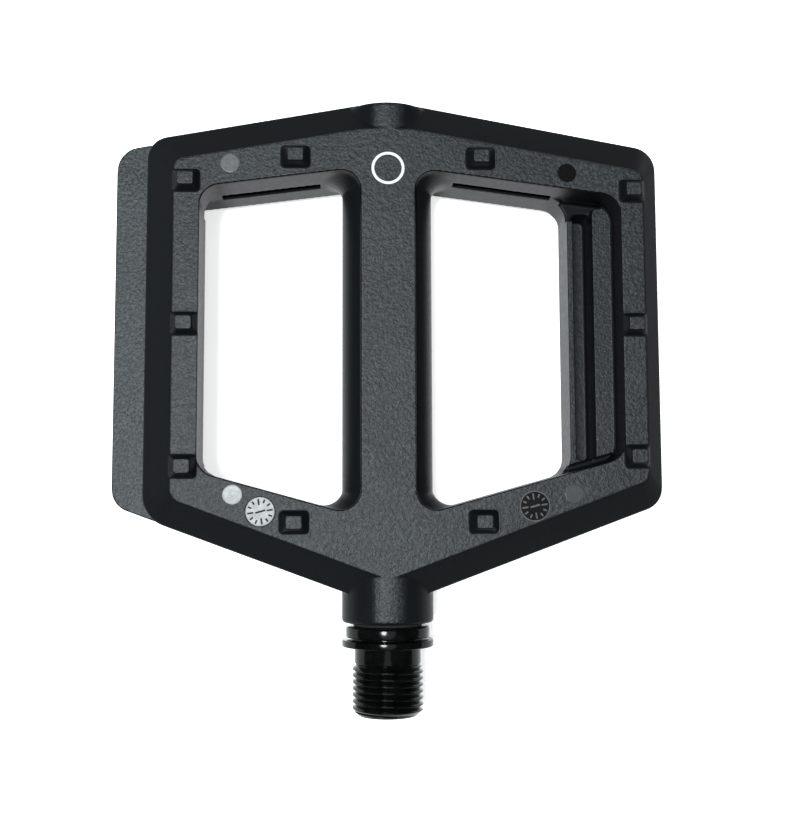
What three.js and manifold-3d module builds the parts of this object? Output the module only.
// Flat bicycle pedal, left side: a moulded platform that spins on a steel spindle.
//
// Frame, in millimetres: the origin lies on the spindle axis, in the plane of the flange
// face that tightens against the crank arm. +Y runs outboard along the spindle, +Z is the
// normal of the upper tread face and +X completes the right-handed frame.
import * as THREE from "three";
import { mergeVertices } from "three/addons/utils/BufferGeometryUtils.js";
import Module from "manifold-3d";

const wasm = await Module();
wasm.setup();

// ---- driving dimensions -------------------------------------------------------------

// Platform section: two half-height frames, shifted sideways past each other.
const TREAD_Z = 9.0; // tread face above the mid-plane
const STEP_Z = 1.2; // each half crosses the mid-plane by this much
const CHAMFER_Z = 4.5; // foot of the big outer chamfer
const REACH = 55.2; // spindle axis to the side that a half leans to
const TUCK = 48.5; // spindle axis to its other side
const REACH_TOP = 51.45; // the same two edges at the tread face
const TUCK_TOP = 42.5;
const FACETS_PER_CORNER = 5;

// Platform plan: both ends are shallow V shapes about the spindle axis.
const OUT_V = { y: 110.75, slope: Math.tan(THREE.MathUtils.degToRad(10.3)) };
const OUT_V_TOP = { y: 104.1, slope: Math.tan(THREE.MathUtils.degToRad(10.0)) };
const IN_V = { y: 7.6, slope: -Math.tan(THREE.MathUtils.degToRad(20.4)) };
const IN_V_TOP = { y: 13.5, slope: -Math.tan(THREE.MathUtils.degToRad(20.5)) };
const OUT_APEX_RADIUS = 12.0; // rounding of the outboard point at the foot of the chamfer
const OUT_APEX_RADIUS_TOP = 45.0; // and at the tread face
const HOUSING_Y = 109.0; // outboard end of the round housing of the cap

// Windows through the platform.
const WINDOW_OUT = { y: 96.0, slope: Math.tan(THREE.MathUtils.degToRad(7.4)) };
const WINDOW_IN = { y: 24.3, slope: -Math.tan(THREE.MathUtils.degToRad(15.5)) };
const WINDOW_WIDE = 46.8;
const WINDOW_NARROW = 37.4;
const SPINE_HALF = 5.42; // half width of the flat on top of the spine
const WINDOW_RADIUS = 4.2;
const SPINE_RADIUS = 4.0;
const SPINE_LAP = 0.25; // the windows stop this far inside the round spine

// Coring pocket in the inner rail of each half, open towards the other half. It leaves a
// thin ridge along the window and a wider pad; a shallow moat runs round both their ends.
const POCKET = { x0: 38.6, x1: 42.6, y0: 37.0, y1: 88.6, top: 7.3 };
const MOAT = { x0: 36.0, x1: 46.9, ridgeOut: 4.4, padOut: 1.0, wideIn: 1.4, depth: 1.9 };
// Slit along the outboard wall of each window.
const SLIT = { x0: 13.8, x1: 34.0, z0: -2.2, z1: 0.3, deep: 3.0 };

// Moulded studs: base and tip sizes, height, and where they stand.
const STUD = { height: 2.0, tipX: 3.1, tipY: 2.7, sink: 0.6 };
const STUD_PLACES = [
  [-40.0, 92.3, 5.2, 4.4],
  [-40.0, 63.6, 5.2, 4.4],
  [-40.0, 35.6, 5.2, 4.4],
  [49.2, 90.9, 4.9, 4.4],
  [49.2, 63.7, 4.9, 4.4],
  [49.2, 37.4, 4.9, 4.4],
  [-18.4, 97.3, 5.7, 4.3],
  [18.6, 97.3, 5.7, 4.3],
  [-18.4, 24.7, 5.7, 4.3],
  [18.6, 24.7, 5.7, 4.3],
];

// Round parts on the spindle axis.
const FACETS = 36;
const BOSS_R = 9.2;
const BOSS_Y = 4.7; // inboard end of the boss
const SEAL_SEAT = { r: 7.8, y: 8.4 };
const BUSHING_SEAT = { r: 7.0, y: 24.4 };
const BORE_R = 6.6;
const BEARING_SHOULDER = { r: 5.6, y0: 87.0, y1: 88.5 };
const BEARING_SEAT_R = 6.5;
const CAP_SEAT = { r: 7.1, y: 106.9 };
const FIT_GAP = 0.05; // gap left between parts that are pressed or clamped together

// Spindle: 9/16 inch x 20 TPI left-hand thread, flange, collar and journals.
const THREAD = { crest: 7.12, root: 6.38, pitch: 1.27, y0: -13.6, y1: -3.4, facets: 32 };
const THREAD_CORE_R = 6.0; // solid core inside the screw surface
const NECK_R = 6.7; // plain neck between the thread and the flange
const FLANGE = { r: 9.25, y: 1.4 };
const GROOVE_R = 7.3;
const COLLAR = { r: 8.45, y0: 1.8, y1: 4.0 };
const JOURNAL_R = 6.0;
const SHANK_R = 5.2;
const SHOULDER_R = 3.9;
const TIP_R = 3.0;
const TIP_Y = 101.8;
const HEX_SOCKET = { acrossFlats: 6.0, depth: 8.0 };

// Bearing 6 x 13 x 5 with eight 2 mm balls.
const BEARING = { y: 91.05, half: 2.5, pitchR: 4.75, ballR: 1.0, balls: 8 };
const RACE_R = 1.07; // section radius of both ball grooves
const INNER_RING_R = 4.05;
const OUTER_RING_R = 5.45;

// ---- materials ----------------------------------------------------------------------

function material(color, roughness, metalness) {
  return new THREE.MeshStandardMaterial({ color, roughness, metalness });
}

const NYLON_BLACK = material(0x1c1d1f, 0.62, 0.0);
const SPINDLE_BLACK = material(0x0b0b0c, 0.18, 0.6);
const RUBBER = material(0x101010, 0.8, 0.0);
const BUSH_POLYMER = material(0x3a3d3f, 0.55, 0.1);
const BEARING_STEEL = material(0xb9bcc0, 0.22, 1.0);
const ZINC_STEEL = material(0xa6a8a8, 0.35, 1.0);
const BRASS = material(0xb08a45, 0.35, 1.0);
const WHITE_NYLON = material(0xe6e6e0, 0.5, 0.0);

// ---- geometry helpers ---------------------------------------------------------------

// Welds a geometry to positions only and drops the triangles that collapse on the axis.
function weld(geometry) {
  const bare = geometry.clone();
  bare.deleteAttribute("normal");
  bare.deleteAttribute("uv");
  const welded = mergeVertices(bare, 1e-4);
  const index = welded.index.array;
  const kept = [];
  for (let i = 0; i < index.length; i += 3) {
    const [a, b, c] = [index[i], index[i + 1], index[i + 2]];
    if (a !== b && b !== c && c !== a) kept.push(a, b, c);
  }
  welded.setIndex(kept);
  return welded;
}

// Six times the signed volume of a welded closed geometry.
function signedVolume(geometry) {
  const p = geometry.attributes.position;
  const index = geometry.index.array;
  const a = new THREE.Vector3();
  const b = new THREE.Vector3();
  const c = new THREE.Vector3();
  let sum = 0;
  for (let i = 0; i < index.length; i += 3) {
    a.fromBufferAttribute(p, index[i]);
    b.fromBufferAttribute(p, index[i + 1]);
    c.fromBufferAttribute(p, index[i + 2]);
    sum += a.dot(b.cross(c));
  }
  return sum;
}

// Welded geometry with its faces pointing outward.
function outward(geometry) {
  const welded = weld(geometry);
  if (signedVolume(welded) < 0) {
    const flipped = Array.from(welded.index.array);
    for (let i = 0; i < flipped.length; i += 3) {
      [flipped[i + 1], flipped[i + 2]] = [flipped[i + 2], flipped[i + 1]];
    }
    welded.setIndex(flipped);
  }
  return welded;
}

// Turns a three.js geometry into a solid that can be joined and cut.
function solid(geometry) {
  const welded = outward(geometry);
  const vertProperties = new Float32Array(welded.attributes.position.array);
  const triVerts = new Uint32Array(welded.index.array);
  return new wasm.Manifold(new wasm.Mesh({ numProp: 3, vertProperties, triVerts }));
}

// Turns a solid back into a three.js geometry.
function geometryOf(body) {
  const mesh = body.getMesh();
  const geometry = new THREE.BufferGeometry();
  const step = mesh.numProp;
  const positions = new Float32Array(mesh.numVert * 3);
  for (let i = 0; i < mesh.numVert; i++) {
    positions[3 * i] = mesh.vertProperties[step * i];
    positions[3 * i + 1] = mesh.vertProperties[step * i + 1];
    positions[3 * i + 2] = mesh.vertProperties[step * i + 2];
  }
  geometry.setAttribute("position", new THREE.BufferAttribute(positions, 3));
  geometry.setIndex(Array.from(mesh.triVerts));
  return geometry;
}

function namedMesh(name, geometry, meshMaterial) {
  geometry.deleteAttribute("normal");
  geometry.computeVertexNormals();
  const mesh = new THREE.Mesh(geometry, meshMaterial);
  mesh.name = name;
  return mesh;
}

// Solid of revolution about the spindle axis from [radius, y] pairs.
function turned(pairs, facets = FACETS) {
  const profile = pairs.map(([r, y]) => new THREE.Vector2(r, y));
  return outward(new THREE.LatheGeometry(profile, facets));
}

// A ring: the profile closes on itself away from the axis.
function turnedRing(pairs, facets = FACETS) {
  return turned([...pairs, pairs[0]], facets);
}

// Points of an arc in a [radius, y] profile, angles in degrees from the +radius direction.
function profileArc(r, y, radius, from, to, steps) {
  const points = [];
  for (let i = 0; i <= steps; i++) {
    const angle = THREE.MathUtils.degToRad(from + ((to - from) * i) / steps);
    points.push([r + radius * Math.cos(angle), y + radius * Math.sin(angle)]);
  }
  return points;
}

// Polygon with every corner rounded; corners are [x, y, radius].
function roundedPolygon(corners, steps) {
  const points = [];
  corners.forEach(([x, y, radius], i) => {
    const corner = new THREE.Vector2(x, y);
    const [px, py] = corners[(i + corners.length - 1) % corners.length];
    const [nx, ny] = corners[(i + 1) % corners.length];
    const before = new THREE.Vector2(px, py).sub(corner).normalize();
    const after = new THREE.Vector2(nx, ny).sub(corner).normalize();
    const half = Math.acos(before.dot(after)) / 2;
    const start = corner.clone().addScaledVector(before, radius / Math.tan(half));
    const end = corner.clone().addScaledVector(after, radius / Math.tan(half));
    const inward = before.clone().add(after).normalize();
    const centre = corner.clone().addScaledVector(inward, radius / Math.sin(half));
    const a0 = start.clone().sub(centre).angle();
    let sweep = end.clone().sub(centre).angle() - a0;
    if (sweep > Math.PI) sweep -= 2 * Math.PI;
    if (sweep < -Math.PI) sweep += 2 * Math.PI;
    for (let k = 0; k <= steps; k++) {
      const angle = a0 + (sweep * k) / steps;
      const offset = new THREE.Vector2(Math.cos(angle), Math.sin(angle));
      points.push(centre.clone().addScaledVector(offset, radius));
    }
  });
  return points;
}

// Closed solid through plan outlines with equal point counts, each at its own height.
function loft(levels) {
  const clockwise = THREE.ShapeUtils.isClockWise(levels[0].points);
  const outlines = levels.map(({ points, z }) => ({
    points: clockwise ? [...points].reverse() : points,
    z,
  }));
  const count = outlines[0].points.length;
  const positions = [];
  for (const { points, z } of outlines) {
    for (const point of points) positions.push(point.x, point.y, z);
  }
  const index = [];
  for (let level = 0; level + 1 < outlines.length; level++) {
    for (let i = 0; i < count; i++) {
      const a = level * count + i;
      const b = level * count + ((i + 1) % count);
      index.push(a, b, b + count, a, b + count, a + count);
    }
  }
  const last = (outlines.length - 1) * count;
  for (const [a, b, c] of THREE.ShapeUtils.triangulateShape(outlines[0].points, [])) {
    index.push(c, b, a);
  }
  for (const [a, b, c] of THREE.ShapeUtils.triangulateShape(outlines.at(-1).points, [])) {
    index.push(last + a, last + b, last + c);
  }
  const geometry = new THREE.BufferGeometry();
  geometry.setAttribute("position", new THREE.Float32BufferAttribute(positions, 3));
  geometry.setIndex(index);
  return geometry;
}

// Upright prism of a plan outline between two heights.
function prism(points, z0, z1) {
  return loft([{ points, z: z0 }, { points, z: z1 }]);
}

// Height in plan of a V line at distance x from the spindle axis.
function vLine(v, x) {
  return v.y - v.slope * Math.abs(x);
}

// ---- platform -----------------------------------------------------------------------

// Plan outline of the upper half; it leans towards +X.
function halfOutline(tuck, reach, out, inn, radii) {
  return roundedPolygon(
    [
      [-tuck, vLine(out, tuck), radii.tuckOut],
      [0, vLine(out, 0), radii.apex],
      [reach, vLine(out, reach), radii.reachOut],
      [reach, vLine(inn, reach), radii.reachIn],
      [0, vLine(inn, 0), radii.point],
      [-tuck, vLine(inn, tuck), radii.tuckIn],
    ],
    FACETS_PER_CORNER,
  );
}

function halfBlank() {
  const foot = halfOutline(TUCK, REACH, OUT_V, IN_V, {
    tuckOut: 4.6, apex: OUT_APEX_RADIUS, reachOut: 5.0, reachIn: 4.6, point: 3.0, tuckIn: 6.4,
  });
  const top = halfOutline(TUCK_TOP, REACH_TOP, OUT_V_TOP, IN_V_TOP, {
    tuckOut: 2.2, apex: OUT_APEX_RADIUS_TOP, reachOut: 2.6, reachIn: 2.4, point: 3.0, tuckIn: 3.0,
  });
  return loft([
    { points: foot, z: -STEP_Z },
    { points: foot, z: CHAMFER_Z },
    { points: top, z: TREAD_Z },
  ]);
}

// Half width of the spine at a height: its round barrel, then the flat on top.
function spineHalf(z) {
  const barrel = Math.sqrt(Math.max(0, BOSS_R ** 2 - z ** 2)) - SPINE_LAP;
  return Math.max(SPINE_HALF, barrel);
}

// Window of the upper half on one side of the spine; side is -1 or +1.
function halfWindow(side, far) {
  const outlineAt = (near) => roundedPolygon(
    [
      [side * near, vLine(WINDOW_OUT, near), SPINE_RADIUS],
      [side * far, vLine(WINDOW_OUT, far), WINDOW_RADIUS],
      [side * far, vLine(WINDOW_IN, far), WINDOW_RADIUS],
      [side * near, vLine(WINDOW_IN, near), SPINE_RADIUS],
    ],
    FACETS_PER_CORNER,
  );
  const heights = [-STEP_Z - 1, 0, 3, 5, 6.3, 7.2, TREAD_Z + 1];
  return loft(heights.map((z) => ({ points: outlineAt(spineHalf(z)), z })));
}

function pocket() {
  const { x0, x1, y0, y1, top } = POCKET;
  const outline = roundedPolygon(
    [[-x1, y1, 1.2], [-x1, y0, 1.2], [-x0, y0, 1.2], [-x0, y1, 1.2]],
    3,
  );
  return prism(outline, -STEP_Z - 1, top);
}

// Shallow moat at the outboard end of the ridge and the pad.
function moatOut() {
  const { x0, x1, ridgeOut, padOut, depth } = MOAT;
  const mid = POCKET.x1;
  const outline = [
    [-x0, vLine(WINDOW_OUT, x0) - 0.2],
    [-x1, vLine(WINDOW_OUT, x1) - 0.2],
    [-x1, vLine(WINDOW_OUT, mid) - padOut],
    [-mid, vLine(WINDOW_OUT, mid) - padOut],
    [-mid, vLine(WINDOW_OUT, x0) - ridgeOut],
    [-x0, vLine(WINDOW_OUT, x0) - ridgeOut],
  ];
  return prism(outline.map(([x, y]) => new THREE.Vector2(x, y)), -STEP_Z - 1, depth - STEP_Z);
}

// The same at their inboard end.
function moatIn() {
  const { x0, x1, wideIn, depth } = MOAT;
  const outline = [
    [-x0, vLine(WINDOW_IN, x0) + 0.2],
    [-x1, vLine(WINDOW_IN, x1) + 0.2],
    [-x1, vLine(WINDOW_IN, x1) + wideIn],
    [-x0, vLine(WINDOW_IN, x0) + wideIn],
  ];
  return prism(outline.map(([x, y]) => new THREE.Vector2(x, y)), -STEP_Z - 1, depth - STEP_Z);
}

function stud(x, y, baseX, baseY) {
  const rectangle = (w, d) => [
    new THREE.Vector2(x - w / 2, y - d / 2),
    new THREE.Vector2(x + w / 2, y - d / 2),
    new THREE.Vector2(x + w / 2, y + d / 2),
    new THREE.Vector2(x - w / 2, y + d / 2),
  ];
  return loft([
    { points: rectangle(baseX, baseY), z: TREAD_Z - STUD.sink },
    { points: rectangle(baseX, baseY), z: TREAD_Z + 0.1 },
    { points: rectangle(STUD.tipX, STUD.tipY), z: TREAD_Z + STUD.height },
  ]);
}

function halfFrame() {
  let half = solid(halfBlank());
  half = half.subtract(solid(halfWindow(-1, WINDOW_NARROW)));
  half = half.subtract(solid(halfWindow(1, WINDOW_WIDE)));
  half = half.subtract(solid(pocket())).subtract(solid(moatOut())).subtract(solid(moatIn()));
  for (const place of STUD_PLACES) half = half.add(solid(stud(...place)));
  return half;
}

// The lower half is the upper half turned half a turn about the spindle axis.
function halfTurned(body) {
  const geometry = geometryOf(body);
  geometry.rotateY(Math.PI);
  return solid(geometry);
}

// Round spine: boss, barrel between the windows and the housing of the cap, all one radius.
function spine() {
  return turned([
    [0, BOSS_Y],
    [BOSS_R - 0.6, BOSS_Y],
    [BOSS_R, BOSS_Y + 0.6],
    [BOSS_R, HOUSING_Y - 0.8],
    [BOSS_R - 0.3, HOUSING_Y - 0.3],
    [BOSS_R - 0.8, HOUSING_Y],
    [0, HOUSING_Y],
  ]);
}

function spindleBore() {
  return turned([
    [0, BOSS_Y - 1],
    [SEAL_SEAT.r, BOSS_Y - 1],
    [SEAL_SEAT.r, SEAL_SEAT.y],
    [BUSHING_SEAT.r, SEAL_SEAT.y],
    [BUSHING_SEAT.r, BUSHING_SEAT.y],
    [BORE_R, BUSHING_SEAT.y],
    [BORE_R, BEARING_SHOULDER.y0],
    [BEARING_SHOULDER.r, BEARING_SHOULDER.y0],
    [BEARING_SHOULDER.r, BEARING_SHOULDER.y1],
    [BEARING_SEAT_R, BEARING_SHOULDER.y1],
    [BEARING_SEAT_R, CAP_SEAT.y],
    [CAP_SEAT.r, CAP_SEAT.y],
    [CAP_SEAT.r, OUT_V.y + 1],
    [0, OUT_V.y + 1],
  ]);
}

// Slit that follows the outboard wall of one window; side is -1 or +1.
function slit(side) {
  const { x0, x1, z0, z1, deep } = SLIT;
  const corners = [
    [side * x0, vLine(WINDOW_OUT, x0) - 1],
    [side * x1, vLine(WINDOW_OUT, x1) - 1],
    [side * x1, vLine(WINDOW_OUT, x1) + deep],
    [side * x0, vLine(WINDOW_OUT, x0) + deep],
  ];
  const [low, high] = side < 0 ? [z0, z1] : [-z1, -z0];
  return prism(corners.map(([x, y]) => new THREE.Vector2(x, y)), low, high);
}

function pedalBody() {
  const upper = halfFrame();
  let body = upper.add(halfTurned(upper)).add(solid(spine()));
  body = body.subtract(solid(spindleBore()));
  body = body.subtract(solid(slit(-1))).subtract(solid(slit(1)));
  return namedMesh("pedal_body", geometryOf(body), NYLON_BLACK);
}

// ---- spindle ------------------------------------------------------------------------

// Left-hand screw surface: four profile points per turn, carried round the helix.
function threadBlank() {
  const { crest, root, pitch, y0, y1, facets } = THREAD;
  const profile = [[root, 0], [crest, 0.38], [crest, 0.5], [root, 0.88]];
  const turns = Math.ceil((y1 - y0) / pitch) + 3;
  const rows = turns * profile.length;
  const start = y0 - 1.5 * pitch;
  const positions = [];
  for (let row = 0; row <= rows; row++) {
    const [radius, along] = profile[row % profile.length];
    const base = start + pitch * (Math.floor(row / profile.length) + along);
    for (let i = 0; i < facets; i++) {
      const angle = (-2 * Math.PI * i) / facets;
      const y = base + (pitch * i) / facets;
      positions.push(radius * Math.sin(angle), y, radius * Math.cos(angle));
    }
  }
  const at = (row, i) => (i < facets ? row * facets + i : (row + profile.length) * facets);
  const index = [];
  const last = rows - profile.length;
  for (let row = 0; row < last; row++) {
    for (let i = 0; i < facets; i++) {
      index.push(at(row, i), at(row, i + 1), at(row + 1, i + 1));
      index.push(at(row, i), at(row + 1, i + 1), at(row + 1, i));
    }
  }
  const seam = (row) => [3, 2, 1].map((k) => at(row + k, 0));
  const rim = (row) => [...Array(facets + 1).keys()].map((i) => at(row, i)).concat(seam(row));
  const centreLow = positions.length / 3;
  positions.push(0, start - pitch, 0, 0, start + pitch * (turns + 1), 0);
  const fan = (row, centre, flip) => {
    const loop = rim(row);
    loop.forEach((v, i) => {
      const w = loop[(i + 1) % loop.length];
      index.push(...(flip ? [v, w, centre] : [w, v, centre]));
    });
  };
  fan(0, centreLow, false);
  fan(last, centreLow + 1, true);
  const geometry = new THREE.BufferGeometry();
  geometry.setAttribute("position", new THREE.Float32BufferAttribute(positions, 3));
  geometry.setIndex(index);
  return geometry;
}

// Envelope that trims the screw surface to length and chamfers its free end.
function threadEnvelope() {
  const { crest, root, y0, y1 } = THREAD;
  return turned([
    [0, y0],
    [root - 0.5, y0],
    [crest + 0.1, y0 + 1.2],
    [crest + 0.1, y1 - 0.9],
    [root - 0.1, y1],
    [0, y1],
  ]);
}

function spindleShaft() {
  return turned([
    [0, THREAD.y0 + 1.5],
    [THREAD_CORE_R, THREAD.y0 + 1.5],
    [THREAD_CORE_R, THREAD.y1 - 0.3],
    [NECK_R, THREAD.y1 + 0.1],
    [NECK_R, 0],
    [FLANGE.r - 0.3, 0],
    [FLANGE.r, 0.3],
    [FLANGE.r, FLANGE.y - 0.3],
    [FLANGE.r - 0.3, FLANGE.y],
    [GROOVE_R, FLANGE.y],
    [GROOVE_R, COLLAR.y0],
    [COLLAR.r - 0.3, COLLAR.y0],
    [COLLAR.r, COLLAR.y0 + 0.3],
    [COLLAR.r, COLLAR.y1 - 0.3],
    [COLLAR.r - 0.3, COLLAR.y1],
    [JOURNAL_R, COLLAR.y1],
    [JOURNAL_R, BUSHING_SEAT.y + 0.6],
    [SHANK_R, BUSHING_SEAT.y + 2.0],
    [SHANK_R, BEARING_SHOULDER.y0 - 3.5],
    [SHOULDER_R, BEARING_SHOULDER.y0 - 2.0],
    [SHOULDER_R, BEARING_SHOULDER.y1],
    [TIP_R, BEARING_SHOULDER.y1],
    [TIP_R, TIP_Y - 0.6],
    [TIP_R - 0.6, TIP_Y],
    [0, TIP_Y],
  ]);
}

function hexSocket() {
  const radius = HEX_SOCKET.acrossFlats / Math.sqrt(3);
  const geometry = new THREE.CylinderGeometry(radius, radius, HEX_SOCKET.depth + 1, 6);
  geometry.rotateY(Math.PI / 6);
  geometry.translate(0, THREAD.y0 - 1 + (HEX_SOCKET.depth + 1) / 2, 0);
  return geometry;
}

function spindle() {
  const thread = solid(threadBlank()).intersect(solid(threadEnvelope()));
  const body = solid(spindleShaft()).add(thread).subtract(solid(hexSocket()));
  return namedMesh("spindle", geometryOf(body), SPINDLE_BLACK);
}

// ---- inboard end: seal and bush -----------------------------------------------------

function inboardSeal() {
  const outer = SEAL_SEAT.r - FIT_GAP;
  const inner = JOURNAL_R + 0.1;
  const geometry = turnedRing([
    [inner, BOSS_Y - 0.3],
    [outer - 0.9, BOSS_Y - 0.6],
    [outer - 0.5, BOSS_Y],
    [outer, BOSS_Y + 0.2],
    [outer, SEAL_SEAT.y - FIT_GAP],
    [inner, SEAL_SEAT.y - FIT_GAP],
  ]);
  return namedMesh("inboard_seal", geometry, RUBBER);
}

function inboardBushing() {
  const outer = BUSHING_SEAT.r - FIT_GAP;
  const inner = JOURNAL_R + 0.1;
  const geometry = turnedRing([
    [inner, SEAL_SEAT.y + 0.3],
    [outer - 0.25, SEAL_SEAT.y + 0.3],
    [outer, SEAL_SEAT.y + 0.55],
    [outer, BUSHING_SEAT.y - 0.25],
    [outer - 0.25, BUSHING_SEAT.y - FIT_GAP],
    [inner, BUSHING_SEAT.y - FIT_GAP],
  ]);
  return namedMesh("inboard_bushing", geometry, BUSH_POLYMER);
}

// ---- outboard ball bearing ----------------------------------------------------------

function bearingOuterRing() {
  const { half, pitchR } = BEARING;
  const outer = BEARING_SEAT_R - FIT_GAP;
  const groove = profileArc(pitchR, 0, RACE_R, 40, -40, 6);
  const geometry = turnedRing([
    [outer, half - 0.3],
    [outer - 0.3, half],
    [OUTER_RING_R + 0.45, half],
    [OUTER_RING_R + 0.45, half - 0.6],
    [OUTER_RING_R, half - 0.6],
    ...groove,
    [OUTER_RING_R, 0.6 - half],
    [OUTER_RING_R + 0.45, 0.6 - half],
    [OUTER_RING_R + 0.45, -half],
    [outer - 0.3, -half],
    [outer, 0.3 - half],
  ]);
  return namedMesh("bearing_outer_ring", geometry, BEARING_STEEL);
}

function bearingInnerRing() {
  const { half, pitchR } = BEARING;
  const bore = TIP_R + FIT_GAP;
  const groove = profileArc(pitchR, 0, RACE_R, 220, 140, 6);
  const geometry = turnedRing([
    [bore, -half],
    [INNER_RING_R, -half],
    ...groove,
    [INNER_RING_R, half],
    [bore, half],
  ]);
  return namedMesh("bearing_inner_ring", geometry, BEARING_STEEL);
}

// Where ball number i sits on the pitch circle.
function ballPlace(i) {
  const angle = (2 * Math.PI * i) / BEARING.balls;
  return new THREE.Vector3(Math.sin(angle), 0, Math.cos(angle)).multiplyScalar(BEARING.pitchR);
}

function bearingBall(i) {
  const geometry = outward(new THREE.SphereGeometry(BEARING.ballR, 12, 8));
  const ball = namedMesh(`bearing_ball_${i + 1}`, geometry, BEARING_STEEL);
  ball.position.copy(ballPlace(i));
  return ball;
}

function bearingCage() {
  const rim = turnedRing([[4.4, -1.45], [5.1, -1.45], [5.1, 1.45], [4.4, 1.45]]);
  let cage = solid(rim);
  for (let i = 0; i < BEARING.balls; i++) {
    const window = new THREE.CylinderGeometry(1.1, 1.1, 3, 12);
    window.rotateX(Math.PI / 2);
    window.rotateY((2 * Math.PI * i) / BEARING.balls);
    const place = ballPlace(i);
    window.translate(place.x, place.y, place.z);
    cage = cage.subtract(solid(window));
  }
  return namedMesh("bearing_cage", geometryOf(cage), BRASS);
}

function bearingShield(name, side) {
  const geometry = turnedRing([
    [INNER_RING_R + 0.2, side * 2.0],
    [OUTER_RING_R + 0.4, side * 2.0],
    [OUTER_RING_R + 0.4, side * 2.3],
    [INNER_RING_R + 0.2, side * 2.3],
  ]);
  return namedMesh(name, geometry, BEARING_STEEL);
}

function bearing() {
  const group = new THREE.Group();
  group.position.y = BEARING.y;
  group.add(bearingOuterRing(), bearingInnerRing(), bearingCage());
  for (let i = 0; i < BEARING.balls; i++) group.add(bearingBall(i));
  group.add(bearingShield("bearing_shield_inboard", -1));
  group.add(bearingShield("bearing_shield_outboard", 1));
  return group;
}

// ---- washer, self-locking nut and cap -----------------------------------------------

const WASHER = { y: BEARING.y + BEARING.half + FIT_GAP, thick: 0.8, r: 4.9 };
const NUT = { y: WASHER.y + WASHER.thick + FIT_GAP, hex: 4.4, tall: 6.0, acrossFlats: 10.0 };

function bearingWasher() {
  const bore = TIP_R + 0.1;
  const { y, thick, r } = WASHER;
  const geometry = turnedRing([[bore, y], [r, y], [r, y + thick], [bore, y + thick]]);
  return namedMesh("bearing_washer", geometry, ZINC_STEEL);
}

function axleLocknut() {
  const corner = NUT.acrossFlats / Math.sqrt(3);
  const hex = new THREE.CylinderGeometry(corner, corner, NUT.hex, 6);
  hex.translate(0, NUT.y + NUT.hex / 2, 0);
  const top = NUT.y + NUT.tall;
  const collar = turned([
    [0, NUT.y + NUT.hex - 0.5],
    [4.85, NUT.y + NUT.hex - 0.5],
    [4.85, top - 0.3],
    [4.55, top],
    [0, top],
  ]);
  const hole = turned([
    [0, NUT.y - 1],
    [TIP_R + FIT_GAP, NUT.y - 1],
    [TIP_R + FIT_GAP, NUT.y + NUT.hex - 0.3],
    [4.3, NUT.y + NUT.hex - 0.3],
    [4.3, top + 1],
    [0, top + 1],
  ]);
  const body = solid(hex).add(solid(collar)).subtract(solid(hole));
  return namedMesh("axle_locknut", geometryOf(body), ZINC_STEEL);
}

function locknutInsert() {
  const bore = TIP_R + FIT_GAP;
  const y0 = NUT.y + NUT.hex - 0.3 + FIT_GAP;
  const y1 = NUT.y + NUT.tall - 0.3;
  const geometry = turnedRing([[bore, y0], [4.25, y0], [4.25, y1], [bore, y1]]);
  return namedMesh("locknut_nylon_insert", geometry, WHITE_NYLON);
}

const CAP = { skirtR: 6.35, hollowR: 5.1, skirtY: 102.6, grooveR: 5.75, grooveY: 104.0 };

function endCap() {
  const rimR = CAP_SEAT.r - 0.1;
  const geometry = turned([
    [0, 106.2],
    [CAP.hollowR, 106.2],
    [CAP.hollowR, CAP.skirtY],
    [CAP.skirtR, CAP.skirtY],
    [CAP.skirtR, CAP.grooveY],
    [CAP.grooveR, CAP.grooveY],
    [CAP.grooveR, CAP.grooveY + 1.0],
    [CAP.skirtR, CAP.grooveY + 1.0],
    [CAP.skirtR, CAP_SEAT.y + FIT_GAP],
    [rimR, CAP_SEAT.y + FIT_GAP],
    [rimR, HOUSING_Y - 0.7],
    [rimR - 0.4, HOUSING_Y - 0.3],
    [0, HOUSING_Y - 0.3],
  ]);
  return namedMesh("end_cap", geometry, NYLON_BLACK);
}

function endCapORing() {
  const section = profileArc(6.1, CAP.grooveY + 0.5, 0.32, 0, 315, 7);
  return namedMesh("end_cap_o_ring", turnedRing(section), RUBBER);
}

// ---- assembly -----------------------------------------------------------------------

const pedal = new THREE.Group();
pedal.add(pedalBody(), spindle());
pedal.add(inboardSeal(), inboardBushing());
pedal.add(bearing());
pedal.add(bearingWasher(), axleLocknut(), locknutInsert());
pedal.add(endCap(), endCapORing());

export default pedal;
